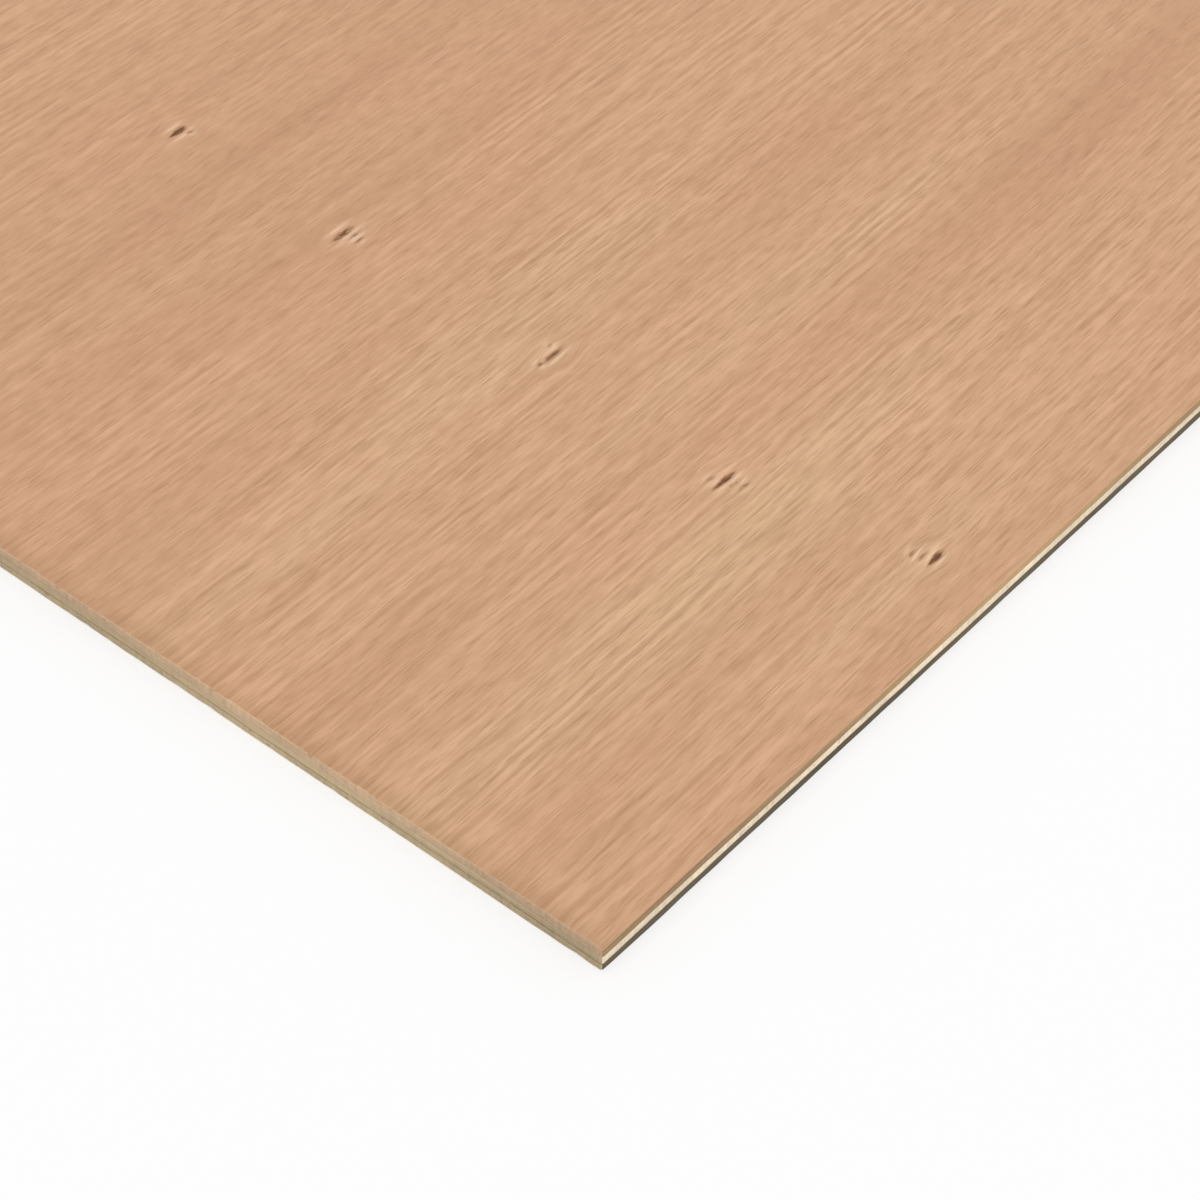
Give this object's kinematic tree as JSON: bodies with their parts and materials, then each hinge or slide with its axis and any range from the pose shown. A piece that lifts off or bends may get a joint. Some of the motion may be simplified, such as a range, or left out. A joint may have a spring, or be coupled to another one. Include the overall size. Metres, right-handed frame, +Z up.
{
  "type": "plywood sheet",
  "caption": "Thin flat rectangular plywood sheet of wood veneers glued with their grain crossed, with square sawn edges, for lining, backing and underlay.",
  "frame": {"origin": "middle of the back face, which lies on the floor", "axes": "+X along the length and the face grain, +Y across the sheet, +Z up out of the face"},
  "size_m": [2.44, 1.22, 0.0052],
  "materials": {
    "face_wood": "sanded, unfinished",
    "core_wood": "sawn, unfinished",
    "back_wood": "sanded, unfinished"
  },
  "bodies": {
    "root": {"face_veneer": "face_wood", "core_ply": "core_wood", "back_veneer": "back_wood"}
  },
  "joints": []
}
